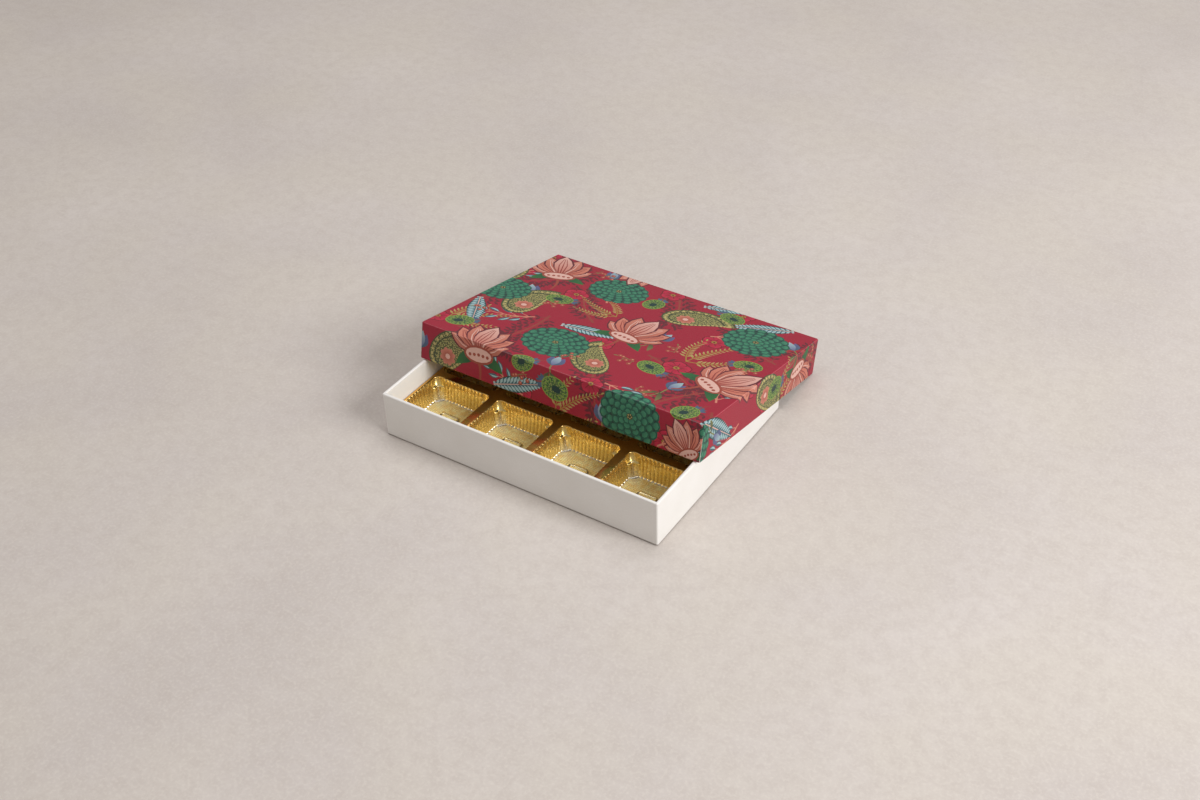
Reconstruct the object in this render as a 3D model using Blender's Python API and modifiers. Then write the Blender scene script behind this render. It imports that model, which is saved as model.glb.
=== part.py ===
"""Twelve-piece chocolate box with a lift-off lid, shown as it lies open.

The base and the lid are set-up boxes of the same build: a folded board tray, a paper stay
round each corner, and one wrapping sheet that turns in over the rim. A loose gold tray with
twelve cups sits in the base. The lid has been pushed back over the base: its front skirt rests
on the two side walls and the lower edge of its back skirt stands on the floor.

Units are metres. X runs along the long side, Y towards the back, Z up. The origin is the
centre of the base's underside.
"""
import math

import bmesh
import bpy
from mathutils import Matrix, Vector

# Base and lid, outside
base_width = 0.195
base_depth = 0.147
base_height = 0.0315
lid_height = 0.025

# How the lid lies on the base
lid_clearance = 0.00055
lid_push_back = 0.047
lid_turn = math.radians(0.25)
seat_gap = 0.0003

# Board, stays and wrapping paper, with the glue between them
board_thickness = 0.0012
board_edge_radius = 0.0004
stay_thickness = 0.00015
stay_leg = 0.012
stay_end_margin = 0.0015
paper_thickness = 0.00015
glue_film = 0.0001
turn_in = 0.018
rim_radius = 0.00045
turn_in_corner_radius = 0.0003

# Gold tray
tray_sheet = 0.0004
tray_side_gap = 0.0006
tray_corner_radius = 0.003
flange_drop = 0.0143
cup_columns = 4
cup_rows = 3
cup_band = 0.006
cup_edge_margin = 0.0017
cup_draft = 0.0024
cup_corner_radius = 0.0035
cup_floor_corner_radius = 0.0065
cup_ledge_drop = 0.006
cup_ledge_inset = 0.0001
pad_side = 0.0142
pad_height = 0.001
pad_slope = 0.0005
pad_corner_radius = 0.0004

cut_overrun = 0.001
corner_steps = 3
cup_corner_steps = 4
smooth_angle = math.radians(35)

# Stack of layers, worked out from the outside in
paper_and_glue = paper_thickness + glue_film
corner_inset = paper_and_glue + stay_thickness + glue_film
wall = corner_inset + board_thickness + paper_and_glue
wrap_corner_radius = board_edge_radius + corner_inset

# Lid, worked out from the base it covers
lid_width = base_width + 2 * (lid_clearance + wall)
lid_depth = base_depth + 2 * (lid_clearance + wall)
lid_lean = math.asin(base_height / (lid_depth - wall))
lid_top_height = seat_gap + lid_depth / 2 * math.sin(lid_lean) + lid_height * math.cos(lid_lean)

# Tray, worked out from the base that holds it
base_floor = paper_and_glue + board_thickness
flange_top = base_height - flange_drop
tray_foot = base_floor + seat_gap
tray_width = base_width - 2 * (wall + tray_side_gap)
tray_depth = base_depth - 2 * (wall + tray_side_gap)
cup_width = (tray_width - 2 * cup_edge_margin - (cup_columns - 1) * cup_band) / cup_columns
cup_length = (tray_depth - 2 * cup_edge_margin - (cup_rows - 1) * cup_band) / cup_rows
cup_pitch_x = cup_width + cup_band
cup_pitch_y = cup_length + cup_band

collection_name = "chocolate_box"
cutter_collection_name = "cutters"


def clear_scene():
    for item in list(bpy.context.scene.objects):
        bpy.data.objects.remove(item, do_unlink=True)


def new_collection(name):
    collection = bpy.data.collections.new(name)
    bpy.context.scene.collection.children.link(collection)
    return collection


def plain_material(name, color, roughness, metallic=0.0):
    material = bpy.data.materials.new(name)
    material.use_nodes = True
    shader = material.node_tree.nodes["Principled BSDF"]
    shader.inputs["Base Color"].default_value = (*color, 1.0)
    shader.inputs["Roughness"].default_value = roughness
    shader.inputs["Metallic"].default_value = metallic
    material.diffuse_color = (*color, 1.0)
    return material


def add_object(name, bm, collection, material=None, parent=None):
    """Turn a bmesh into a named object, with round faces shaded smooth."""
    mesh = bpy.data.meshes.new(name)
    bm.to_mesh(mesh)
    bm.free()
    mesh.shade_smooth()
    mesh.set_sharp_from_angle(angle=smooth_angle)
    item = bpy.data.objects.new(name, mesh)
    collection.objects.link(item)
    if material:
        mesh.materials.append(material)
    item.parent = parent
    return item


def add_empty(name, collection):
    empty = bpy.data.objects.new(name, None)
    collection.objects.link(empty)
    return empty


def box_mesh(width, depth, height, low=0.0):
    """A box centred on the Z axis that stands on height low."""
    bm = bmesh.new()
    place = Matrix.Translation((0, 0, low + height / 2)) @ Matrix.Diagonal((width, depth, height, 1))
    bmesh.ops.create_cube(bm, size=1, matrix=place)
    return bm


def upright_edges(bm):
    """Edges that climb: the corners of a box, also where its sides lean."""
    return [edge for edge in bm.edges
            if abs(edge.verts[0].co.z - edge.verts[1].co.z) > edge.calc_length() / 2]


def open_top(bm):
    bmesh.ops.delete(bm, geom=[face for face in bm.faces if face.normal.z > 0.5],
                     context="FACES_ONLY")


def board_tray(name, width, depth, height, collection, material, parent):
    """The board: a bottom and four walls, folded up from one scored blank."""
    bm = box_mesh(width - 2 * corner_inset, depth - 2 * corner_inset,
                  height - 2 * paper_and_glue, low=paper_and_glue)
    open_top(bm)
    board = add_object(name, bm, collection, material, parent)
    shell = board.modifiers.new("board thickness", "SOLIDIFY")
    shell.thickness = board_thickness
    shell.offset = -1
    shell.use_even_offset = True
    edges = board.modifiers.new("pressed edges", "BEVEL")
    edges.width = board_edge_radius
    edges.segments = corner_steps
    edges.limit_method = "ANGLE"
    return board


def corner_stay(name, width, depth, height, side_x, side_y, collection, material, parent):
    """A strip of paper tape that holds two walls of the board together at one corner."""
    inset = paper_and_glue
    corner = Vector((side_x * (width / 2 - inset), side_y * (depth / 2 - inset), 0))
    low = paper_and_glue + stay_end_margin
    tall = height - 2 * low
    bm = bmesh.new()
    foot = [corner - Vector((side_x * stay_leg, 0, 0)), corner, corner - Vector((0, side_y * stay_leg, 0))]
    verts = [bm.verts.new(point + Vector((0, 0, low))) for point in foot]
    edges = [bm.edges.new(pair) for pair in zip(verts, verts[1:])]
    risen = bmesh.ops.extrude_edge_only(bm, edges=edges)["geom"]
    bmesh.ops.translate(bm, vec=(0, 0, tall),
                        verts=[part for part in risen if isinstance(part, bmesh.types.BMVert)])
    outward = Vector((side_x, side_y, 0))
    bm.normal_update()
    bmesh.ops.reverse_faces(bm, faces=[face for face in bm.faces if face.normal.dot(outward) < 0])
    fold = [edge for edge in upright_edges(bm) if len(edge.link_faces) == 2]
    bmesh.ops.bevel(bm, geom=fold, offset=wrap_corner_radius - paper_and_glue, segments=corner_steps,
                    profile=0.5, affect="EDGES")
    stay = add_object(name, bm, collection, material, parent)
    shell = stay.modifiers.new("tape thickness", "SOLIDIFY")
    shell.thickness = stay_thickness
    shell.offset = -1
    shell.use_even_offset = True
    return stay


def wrapping_sheet(name, width, depth, height, collection, material, parent):
    """Paper over the bottom and the walls, folded over the rim and turned in."""
    bm = box_mesh(width, depth, height)
    open_top(bm)
    weights = bm.edges.layers.float.new("bevel_weight_edge")
    for edge in bm.edges:
        edge[weights] = rim_radius / wrap_corner_radius
    for edge in upright_edges(bm):
        edge[weights] = 1.0

    over = bmesh.ops.extrude_edge_only(bm, edges=[edge for edge in bm.edges if edge.is_boundary])["geom"]
    for vert in [part for part in over if isinstance(part, bmesh.types.BMVert)]:
        vert.co.x -= math.copysign(wall, vert.co.x)
        vert.co.y -= math.copysign(wall, vert.co.y)
    inner_rim = [edge for edge in bm.edges if edge.is_boundary]
    for edge in inner_rim:
        edge[weights] = rim_radius / wrap_corner_radius
    down = bmesh.ops.extrude_edge_only(bm, edges=inner_rim)["geom"]
    low_verts = [part for part in down if isinstance(part, bmesh.types.BMVert)]
    bmesh.ops.translate(bm, vec=(0, 0, -turn_in), verts=low_verts)
    for vert in low_verts:
        for edge in vert.link_edges:
            if not edge.is_boundary:
                edge[weights] = turn_in_corner_radius / wrap_corner_radius

    sheet = add_object(name, bm, collection, material, parent)
    folds = sheet.modifiers.new("rounded folds", "BEVEL")
    folds.width = wrap_corner_radius
    folds.segments = corner_steps
    folds.limit_method = "WEIGHT"
    shell = sheet.modifiers.new("paper thickness", "SOLIDIFY")
    shell.thickness = paper_thickness
    shell.offset = -1
    shell.use_even_offset = True
    return sheet


def set_up_box(part, width, depth, height, collection, materials, parent):
    """One half of the box, standing on its panel with its open side up."""
    board_tray(f"{part}_board", width, depth, height, collection, materials["board"], parent)
    for side_y, front in ((-1, "front"), (1, "back")):
        for side_x, left in ((-1, "left"), (1, "right")):
            corner_stay(f"{part}_corner_stay_{front}_{left}", width, depth, height, side_x, side_y,
                        collection, materials["stay"], parent)
    wrapping_sheet(f"{part}_wrap", width, depth, height, collection, materials["wrap"], parent)


def tapered_block(top_width, top_length, draft_rate, top, bottom, corner_radius):
    """A block with rounded corners that narrows downwards by draft_rate on each side."""
    shrink = 2 * draft_rate * (top - bottom)
    bm = box_mesh(top_width, top_length, top - bottom, low=bottom)
    for vert in bm.verts:
        if vert.co.z < (top + bottom) / 2:
            vert.co.x *= 1 - shrink / top_width
            vert.co.y *= 1 - shrink / top_length
    bmesh.ops.bevel(bm, geom=upright_edges(bm), offset=corner_radius, segments=cup_corner_steps,
                    profile=0.5, affect="EDGES")
    return bm


def boolean(item, operation, other):
    """Apply one exact boolean, so the result can be copied."""
    step = item.modifiers.new(operation.lower(), "BOOLEAN")
    step.operation = operation
    step.solver = "EXACT"
    step.object = other
    bpy.context.view_layer.update()
    shaped = bpy.data.meshes.new_from_object(item.evaluated_get(bpy.context.evaluated_depsgraph_get()))
    item.modifiers.clear()
    old = item.data
    item.data = shaped
    bpy.data.meshes.remove(old)


def make_cutter(name, bm, cutters):
    cutter = add_object(name, bm, cutters)
    cutter.hide_render = True
    cutter.display_type = "WIRE"
    return cutter


def cup_form(name, grow, cutters):
    """One cup as a solid: a tall body with wide corners and a shallow one with narrow corners.

    With grow at zero it is the cup's hollow. With grow at the sheet's thickness it is the
    outside of the cup. The shallow body lies a little inside the walls of the tall one and
    comes out of it only at the corners. Where it ends, each corner has its ledge.
    """
    depth = flange_top - tray_foot - tray_sheet
    draft_rate = cup_draft / depth
    rise = cut_overrun if grow == 0 else -tray_sheet / 2
    top = flange_top + rise
    width = cup_width + 2 * (draft_rate * rise + grow)
    length = cup_length + 2 * (draft_rate * rise + grow)
    floor = tray_foot + tray_sheet - grow
    ledge = flange_top - cup_ledge_drop - grow
    form = make_cutter(name, tapered_block(width, length, draft_rate, top, floor,
                                           cup_floor_corner_radius + grow), cutters)
    lower = abs(rise) / 2
    inset = cup_ledge_inset + draft_rate * lower
    corner_block = tapered_block(width - 2 * inset, length - 2 * inset, draft_rate, top - lower, ledge,
                                 cup_corner_radius + grow)
    shallow = make_cutter(f"{name}_shallow", corner_block, cutters)
    boolean(form, "UNION", shallow)
    pad_top = floor + pad_height
    pad_width = pad_side - 2 * grow
    pad = make_cutter(f"{name}_pad", tapered_block(pad_width, pad_width, -pad_slope / pad_height,
                                                   pad_top, floor - cut_overrun, pad_corner_radius), cutters)
    boolean(form, "DIFFERENCE", pad)
    return form


def spread_over_cups(name, form, cutters):
    """Copies of one cup form at all cup places, in one object."""
    bm = bmesh.new()
    for row in range(cup_rows):
        for column in range(cup_columns):
            place = Vector(((column - (cup_columns - 1) / 2) * cup_pitch_x,
                            (row - (cup_rows - 1) / 2) * cup_pitch_y, 0))
            before = len(bm.verts)
            bm.from_mesh(form.data)
            bm.verts.ensure_lookup_table()
            bmesh.ops.translate(bm, vec=place, verts=bm.verts[before:])
    return make_cutter(name, bm, cutters)


def cavity_tray(collection, cutters, material, parent):
    """Formed plastic sheet: a flat flange with a grid of cups, standing on their floors."""
    flange = box_mesh(tray_width, tray_depth, tray_sheet, low=flange_top - tray_sheet)
    bmesh.ops.bevel(flange, geom=upright_edges(flange), offset=tray_corner_radius,
                    segments=cup_corner_steps, profile=0.5, affect="EDGES")
    tray = add_object("cavity_tray", flange, collection, material, parent)
    outsides = spread_over_cups("cup_outsides", cup_form("cup_outside", tray_sheet, cutters), cutters)
    hollows = spread_over_cups("cup_hollows", cup_form("cup_hollow", 0.0, cutters), cutters)
    boolean(tray, "UNION", outsides)
    boolean(tray, "DIFFERENCE", hollows)
    tray.data.shade_smooth()
    tray.data.set_sharp_from_angle(angle=smooth_angle)
    return tray


def build():
    clear_scene()
    parts = new_collection(collection_name)
    cutters = new_collection(cutter_collection_name)
    greyboard = plain_material("greyboard", (0.42, 0.39, 0.35), 0.9)
    stay_paper = plain_material("stay_paper", (0.72, 0.66, 0.56), 0.85)
    white_paper = plain_material("white_paper", (0.84, 0.82, 0.79), 0.6)
    printed_paper = plain_material("printed_paper", (0.40, 0.03, 0.07), 0.6)
    gold_plastic = plain_material("gold_plastic", (0.83, 0.55, 0.16), 0.25, metallic=1.0)

    base_frame = add_empty("base_frame", parts)
    set_up_box("base", base_width, base_depth, base_height, parts,
               {"board": greyboard, "stay": stay_paper, "wrap": white_paper}, base_frame)

    tray_frame = add_empty("tray_frame", parts)
    cavity_tray(parts, cutters, gold_plastic, tray_frame)

    lid_frame = add_empty("lid_frame", parts)
    lid_frame.location = (0, lid_push_back, lid_top_height)
    lid_frame.rotation_euler = (math.pi - lid_lean, 0, lid_turn)
    set_up_box("lid", lid_width, lid_depth, lid_height, parts,
               {"board": greyboard, "stay": stay_paper, "wrap": printed_paper}, lid_frame)


build()
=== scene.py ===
"""Looks of the chocolate box: papers, printed lid, gold tray, floor and light.

Flat paper is worked out in millimetres and everything else in metres, in the part's own frame.
"""

from collections import namedtuple
from math import asin, atan, atan2, cos, pi, radians, sin

import bpy
import numpy as np
from mathutils import Matrix, Vector
from mathutils.geometry import delaunay_2d_cdt
from mathutils.kdtree import KDTree


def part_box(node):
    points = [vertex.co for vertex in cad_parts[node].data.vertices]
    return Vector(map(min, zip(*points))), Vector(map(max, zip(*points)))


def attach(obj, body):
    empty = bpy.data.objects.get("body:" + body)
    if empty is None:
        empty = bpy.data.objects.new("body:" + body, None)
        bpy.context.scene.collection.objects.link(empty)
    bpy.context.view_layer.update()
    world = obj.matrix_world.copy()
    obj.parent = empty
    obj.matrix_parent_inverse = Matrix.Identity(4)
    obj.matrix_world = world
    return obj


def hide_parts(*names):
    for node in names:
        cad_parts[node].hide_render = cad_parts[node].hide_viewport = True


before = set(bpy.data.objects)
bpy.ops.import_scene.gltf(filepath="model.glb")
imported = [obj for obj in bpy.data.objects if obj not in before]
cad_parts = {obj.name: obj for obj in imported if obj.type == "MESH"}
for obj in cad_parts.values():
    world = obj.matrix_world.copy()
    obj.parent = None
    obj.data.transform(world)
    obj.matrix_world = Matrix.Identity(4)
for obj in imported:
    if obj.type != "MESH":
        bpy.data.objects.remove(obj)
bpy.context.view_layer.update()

mm = 0.001

# Sizes of the two halves, in millimetres, as the part has them
wall = 1.95
paper = 0.15
turn_in = 18.0
lid_clearance = 0.55
lid_height = 25.0
lid_push_back = 47.0
lid_turn = radians(0.25)
seat_gap = 0.3

# How the two sheets are cut, folded, dented, worn and darkened with painted shade along the base's bottom
# folds, in millimetres
seam_gap = 0.03
rim_radius = 0.75
base_fold_radius = 1.0
lid_fold_radius = 1.1
bend_shares = (0.0, 0.27, 0.58)
skirt_bow = 0.2
dent_depth = 0.03
dent_pitch = (23, 17)
dent_start = (1.3, 0.4)
seam_wear = 0.35
seam_wear_reach = 0.6
# Reach of the painted shade along the base's bottom folds, which stands for the contact shadow on the floor
base_shade_reach = 1.7
lid_wear_reach = lid_fold_radius
weld = 0.0001

# Where the two sides of a sheet lie on its map for baking: the outer side in the middle, the inner above it
map_margin = 4
front_share, front_middle = 1 / 1.3, 0.38
back_size, back_rise = 0.45, 0.61

low, high = (np.array(corner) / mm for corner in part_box("base_wrap"))
base_width, base_depth, base_height = high - low
lid_width = base_width + 2 * (lid_clearance + wall)
lid_depth = base_depth + 2 * (lid_clearance + wall)
lid_lean = asin(base_height / (lid_depth - wall))
lid_top = seat_gap + lid_depth / 2 * sin(lid_lean) + lid_height * cos(lid_lean)
lid_place = (Matrix.Translation((0, lid_push_back * mm, lid_top * mm))
             @ Matrix.Rotation(lid_turn, 4, "Z") @ Matrix.Rotation(-lid_lean, 4, "X"))
base_place = Matrix.Rotation(pi, 4, "X")


# Colours are written as they look and turned into the linear values that shaders take

def linear(color):
    return tuple(c / 12.92 if c <= 0.04045 else ((c + 0.055) / 1.055) ** 2.4 for c in color)


def rgba(color):
    return (*linear(color), 1.0)


# Inks of the printed paper
crimson = (0.605, 0.065, 0.185)
wine = (0.400, 0.040, 0.095)
dusk = (0.375, 0.110, 0.160)
bark = (0.560, 0.225, 0.200)
rose = (0.740, 0.110, 0.260)
blush = (0.860, 0.690, 0.640)
coral = (0.740, 0.390, 0.320)
salmon = (0.800, 0.500, 0.420)
terracotta = (0.600, 0.270, 0.210)
olive = (0.470, 0.470, 0.270)
olive_dark = (0.230, 0.270, 0.170)
straw = (0.720, 0.660, 0.420)
gold_ink = (0.620, 0.490, 0.220)
teal = (0.080, 0.360, 0.290)
teal_deep = (0.040, 0.215, 0.200)
teal_light = (0.240, 0.540, 0.410)
leaf_green = (0.150, 0.430, 0.190)
lime = (0.480, 0.620, 0.240)
slate = (0.190, 0.370, 0.410)
sky = (0.620, 0.740, 0.750)
mauve = (0.370, 0.350, 0.540)


# Strokes that the motifs are painted with, each a closed outline in millimetres

def turned(points, angle):
    c, s = cos(angle), sin(angle)
    return np.asarray(points, float) @ np.array([[c, s], [-s, c]])


def ellipse(rx, ry=None, count=16):
    a = np.linspace(0, 2 * pi, count, endpoint=False)
    return np.stack([rx * np.cos(a), (rx if ry is None else ry) * np.sin(a)], 1)


def blade(x, middle, half):
    """An outline along X from its middle line and its half width."""
    upper = np.stack([x, middle + half], 1)
    lower = np.stack([x, middle - half], 1)[::-1]
    return np.concatenate([upper[:-1], lower[:-1]])


def leaf(length, width, bend=0.0, count=5, fullness=1.0):
    """A leaf with a point at both ends, from the origin along X."""
    t = np.linspace(0, 1, count)
    return blade(length * t, bend * np.sin(pi * t), width / 2 * np.sin(pi * t ** fullness))


def petal(length, width, count=5):
    """A petal with a narrow foot at the origin and a round tip, along X."""
    t = 1 - (1 - np.linspace(0, 1, count)) ** 1.35
    return blade(length * t, 0.0, width / 2 * np.sin(pi * t ** 1.6) ** 0.75)


def ribbon(line, start, end=None):
    """A stroke of the brush along a line, from one width to another."""
    line = np.asarray(line, float)
    along = np.gradient(line, axis=0)
    along /= np.linalg.norm(along, axis=1)[:, None]
    side = np.stack([-along[:, 1], along[:, 0]], 1)
    width = np.linspace(start, start if end is None else end, len(line))[:, None] / 2
    return np.concatenate([line + side * width, (line - side * width)[::-1]])


def curve(start, middle, end, count=6):
    """A bent line through three steering points."""
    t = np.linspace(0, 1, count)[:, None]
    a, b, c = (np.asarray(p, float) for p in (start, middle, end))
    return (1 - t) ** 2 * a + 2 * t * (1 - t) * b + t ** 2 * c


class Print:
    """The painted shapes of a sheet, lowest first, each with its inks and its grain."""

    def __init__(self):
        self.outlines, self.shades = [], []
        self.spot = (0.0, 0.0, 0.0, 1.0)

    def at(self, x, y, degrees=0.0, size=1.0):
        self.spot = (x, y, radians(degrees), size)
        return self

    def add(self, points, ink, tip=None, grain=0.0, angle=0.0, shift=(0.0, 0.0)):
        """One shape. With a tip ink it shades from its first point to the one opposite."""
        x, y, heading, size = self.spot
        placed = turned(turned(points, angle) + shift, heading) * size + (x, y)
        foot, middle = placed[0], placed[len(placed) // 2]
        self.outlines.append(placed)
        self.shades.append((*linear(ink), *linear(tip or ink), *foot, *(middle - foot), grain))


# Motifs

def dahlia(art):
    """A full round blossom, ring on ring of petals."""
    rings = ((21.5, 17), (17.4, 15), (13.4, 12), (9.6, 9), (6.0, 6))
    art.add(ellipse(20.0, 18.8, 24), teal_deep)
    for number, (radius, count) in enumerate(rings):
        width = 2 * pi * radius / count
        for k in range(count):
            angle = 2 * pi * (k + 0.5 * (number % 2)) / count
            foot = (radius - 6.0) * np.array([cos(angle), 0.94 * sin(angle)])
            art.add(petal(6.2, width * 0.98), teal_deep, teal, angle=angle, shift=foot)
            art.add(petal(5.1, width * 0.66), teal, teal_light, angle=angle, shift=foot)
    art.add(ellipse(2.2, count=9), olive_dark)
    for k in range(5):
        angle = k * pi / 2.5
        art.add(ellipse(0.5, count=5), straw, shift=(1.3 * cos(angle), 1.3 * sin(angle)))


def drop_outline(length, count=19):
    """A fat drop that curls over at its tip, from its round foot up."""
    t = 0.5 - 0.5 * np.cos(pi * np.linspace(0, 1, count))
    bend = 1.25 * t ** 1.5
    step = length * 1.12 * np.diff(t, prepend=0.0)
    spine = np.stack([np.cumsum(np.sin(bend) * step), np.cumsum(np.cos(bend) * step)], 1)
    half = length * 0.66 * np.sqrt(t) * (1 - t) ** 0.9
    side = np.stack([-np.cos(bend), np.sin(bend)], 1)
    left = spine + side * half[:, None]
    right = spine - side * half[:, None]
    return np.concatenate([left, right[::-1][1:-1]])


def paisley(art):
    """A stippled drop with a beaded edge and a small flower in it."""
    outline = drop_outline(40)
    centre = np.array([4.5, 14.5])
    art.add(outline, olive_dark)
    art.add(centre + (outline - centre) * 0.95, olive, grain=1.0)
    art.add(centre + (outline - centre) * 0.76, olive_dark)
    art.add(centre + (outline - centre) * 0.71, olive, straw, grain=1.0)
    for point in centre + (outline - centre) * 0.855:
        art.add(ellipse(0.95, count=6), straw, shift=point)
    for k in range(8):
        art.add(petal(5.6, 3.6), terracotta, salmon, angle=pi * k / 4, shift=centre - (1, 2))
    art.add(ellipse(1.7, count=8), blush, shift=centre - (1, 2))


def lotus(art):
    """A side view of a broad striped blossom on its cup."""
    pairs = ((62, 20, 9.5, terracotta, salmon), (41, 24, 10.5, coral, salmon),
             (20, 27, 11, terracotta, salmon))
    petals = [(side * spread, *others) for spread, *others in pairs for side in (1, -1)]
    for side in (-1, 1):
        heading = radians(90 - side * 112)
        art.add(leaf(16, 6.5, side * 2), teal_deep, leaf_green, angle=heading, shift=(0, -2))
    art.add(ribbon(curve((0, -4), (2, -11), (-1, -19)), 1.7, 0.8), terracotta)
    for spread, length, width, foot, tip in (*petals, (0, 29, 12, coral, blush)):
        heading = radians(90 + spread)
        art.add(leaf(length, width, count=6, fullness=1.25), dusk, angle=heading)
        art.add(leaf(length * 0.95, width * 0.84, count=6, fullness=1.25), foot, tip, angle=heading)
        for offset in (-0.24, 0.0, 0.24):
            line = curve((3.0, offset * width * 0.4), (length * 0.55, offset * width * 1.2),
                         (length * 0.82, offset * width * 0.25), 3)
            art.add(ribbon(line, 0.8, 0.3), bark if foot is coral else blush, angle=heading)
    art.add(ellipse(9.2, 5.2, 14), terracotta, shift=(0, -0.5))
    art.add(ellipse(8, 3.9, 14), blush, shift=(0, -0.5))
    for k in range(-2, 3):
        art.add(ellipse(1.0, count=6), terracotta, shift=(k * 2.7, -0.4 - 0.25 * abs(k)))


def pod(art):
    """A round green fruit with a lime rim and a violet crown."""
    for k in range(5):
        art.add(leaf(6.4, 2.6), mauve, slate, angle=radians(-48 + 24 * k), shift=(7.0, 0.0))
    art.add(ribbon(curve((9, 0), (14, 3), (18, 1), 4), 1.0, 0.5), bark)
    art.add(ellipse(9.2, 7.2, 18), lime)
    art.add(ellipse(8.6, 6.6, 18), leaf_green, grain=0.6)
    for k in range(14):
        angle = 2 * pi * k / 14
        art.add(leaf(3.6, 1.0, count=3), lime, angle=atan2(6.6 * sin(angle), 8.6 * cos(angle)),
                shift=(4.8 * cos(angle), 3.2 * sin(angle)))
    art.add(ellipse(3.2, 2.2, 9), teal_deep, shift=(-1.0, 0.0))


def fern(art):
    """Three bent fronds from one foot, with pairs of leaves that get shorter to the tip."""
    fronds = ((0.62, 34.0, 11, 7.0), (-0.55, 32.0, 11, -6.0), (0.04, 44.0, 14, 5.0))
    for spread, length, pairs, bend in fronds:
        stem = turned(curve((0, 0), (length / 2, bend), (length, -bend / 3), pairs + 1), spread)
        art.add(ribbon(stem[::2], 0.9, 0.4), gold_ink)
        for k in range(2, pairs):
            ahead = stem[k + 1] - stem[k - 1]
            heading = atan2(ahead[1], ahead[0])
            size = 6.4 * (1 - 0.045 * k)
            for angle in (heading - 0.85, heading + 0.85):
                art.add(leaf(size, size * 0.34, count=3), gold_ink, straw, angle=angle, shift=stem[k])
        art.add(leaf(3.6, 1.4, count=4), gold_ink, straw, angle=spread, shift=stem[-1])


def sprig(art):
    """A stem with broad leaves on short stalks, and round berries."""
    length, pairs = 30.0, 4
    stem = curve((0, 0), (length * 0.45, 5), (length, -1.5), 9)
    art.add(ribbon(stem[::2], 1.2, 0.6), salmon)
    for k in range(pairs):
        spot = stem[2 * k + 1]
        for side in (-1, 1):
            heading = side * (0.75 + 0.1 * (k % 2))
            reach = 5.0 - 0.7 * k
            stalk = [(0, 0), (reach / 2, 0), (reach, -0.4 * side)]
            art.add(ribbon(stalk, 0.8, 0.45), salmon, angle=heading, shift=spot)
            top = turned(stalk, heading)[-1] + spot
            art.add(leaf(8.8, 3.3, side * 0.5, count=6), slate, angle=heading * 0.8, shift=top)
            art.add(leaf(7.8, 1.3, side * 0.9, count=4), sky, angle=heading * 0.8, shift=top)
    art.add(leaf(8.5, 3.2), slate, sky, shift=stem[-1])
    for k in (2, 4, 6):
        art.add(ellipse(1.15, count=7), rose, shift=stem[k] + (0.5, 2.6 if k % 4 else -2.6))


def plume(art):
    """A long pale leaf with a herringbone of short strokes."""
    length, width = 40.0, 11.0
    art.add(leaf(length, width, fullness=0.8, count=10), teal_deep)
    art.add(leaf(length * 0.985, width * 0.88, fullness=0.8, count=10), slate)
    for k in range(14):
        x = 1.6 + 2.5 * k
        reach = width * 0.45 * sin(pi * (x / length) ** 0.8) + 0.6
        for side in (-1, 1):
            art.add(leaf(reach * 1.15, 1.9, count=3), sky, angle=side * 0.9, shift=(x - 1.0, side * 0.35))
    art.add(ribbon([(0.5, 0), (length / 2, 0), (length - 1, 0)], 0.7, 0.3), blush)


def tulip(art):
    """A closed bud of three petals on a thin stem."""
    art.add(ribbon(curve((0, 0), (2, -8), (-2, -17), 4), 1.0, 0.6), olive)
    for side in (-1, 1):
        art.add(leaf(11, 3.2, side), olive_dark, olive, angle=radians(90 - side * 150), shift=(0, -6))
        art.add(leaf(11.5, 5.2, -side, count=6), slate, mauve, angle=radians(90 - side * 17))
    art.add(leaf(12.5, 5.0, count=6), mauve, sky, angle=radians(90))


def vine(art):
    """A tonal branch with small dark leaves, only a shade off the ground."""
    length = 46.0
    stem = curve((0, 0), (length / 2, 6), (length, 0), 15)
    for k in range(1, 14, 2):
        for side in (-1, 1):
            heading = side * 0.8
            reach = length * 0.28 * (1 - 0.035 * k)
            twig = curve((0, 0), (reach / 2, side), (reach, side * -1.6), 4)
            art.add(ribbon(twig, 0.8, 0.35), bark, dusk, angle=heading, shift=stem[k])
            for j in (1, 2, 3):
                spot = turned([twig[j]], heading)[0] + stem[k]
                for turn in (-0.8, 0.8):
                    art.add(leaf(4.6, 1.9, count=4), dusk, angle=heading + turn, shift=spot)
    art.add(ribbon(stem[::2], 1.6, 0.5), bark, terracotta)


def bloom(art):
    """A flat five-petal flower, close to the ground's own red."""
    for k in range(5):
        angle = 2 * pi * k / 5 + 0.3
        art.add(petal(8.2, 8.4, 6), wine, angle=angle)
        art.add(petal(7.6, 7.2, 6), crimson, rose, angle=angle)
        art.add(ribbon([(1.2, 0), (5.6, 0)], 0.6, 0.25), wine, angle=angle)
    art.add(ellipse(1.7, count=8), gold_ink)
    art.add(ellipse(0.8, count=6), wine)


def berries(art):
    """A loose bunch of small fruits on a fork."""
    art.add(ribbon(curve((0, 0), (5, 3), (13, 2), 5), 0.9, 0.5), olive)
    for k in range(6):
        x, y = 3.0 + 1.9 * k, 3.4 * sin(1.9 * k + 0.6)
        art.add(ribbon([(x - 0.4, 1.5), (x, y)], 0.5, 0.4), olive)
        art.add(ellipse(1.5, count=8), terracotta, shift=(x, y))
        art.add(ellipse(0.7, count=5), salmon, shift=(x + 0.2, y + 0.3))


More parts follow.
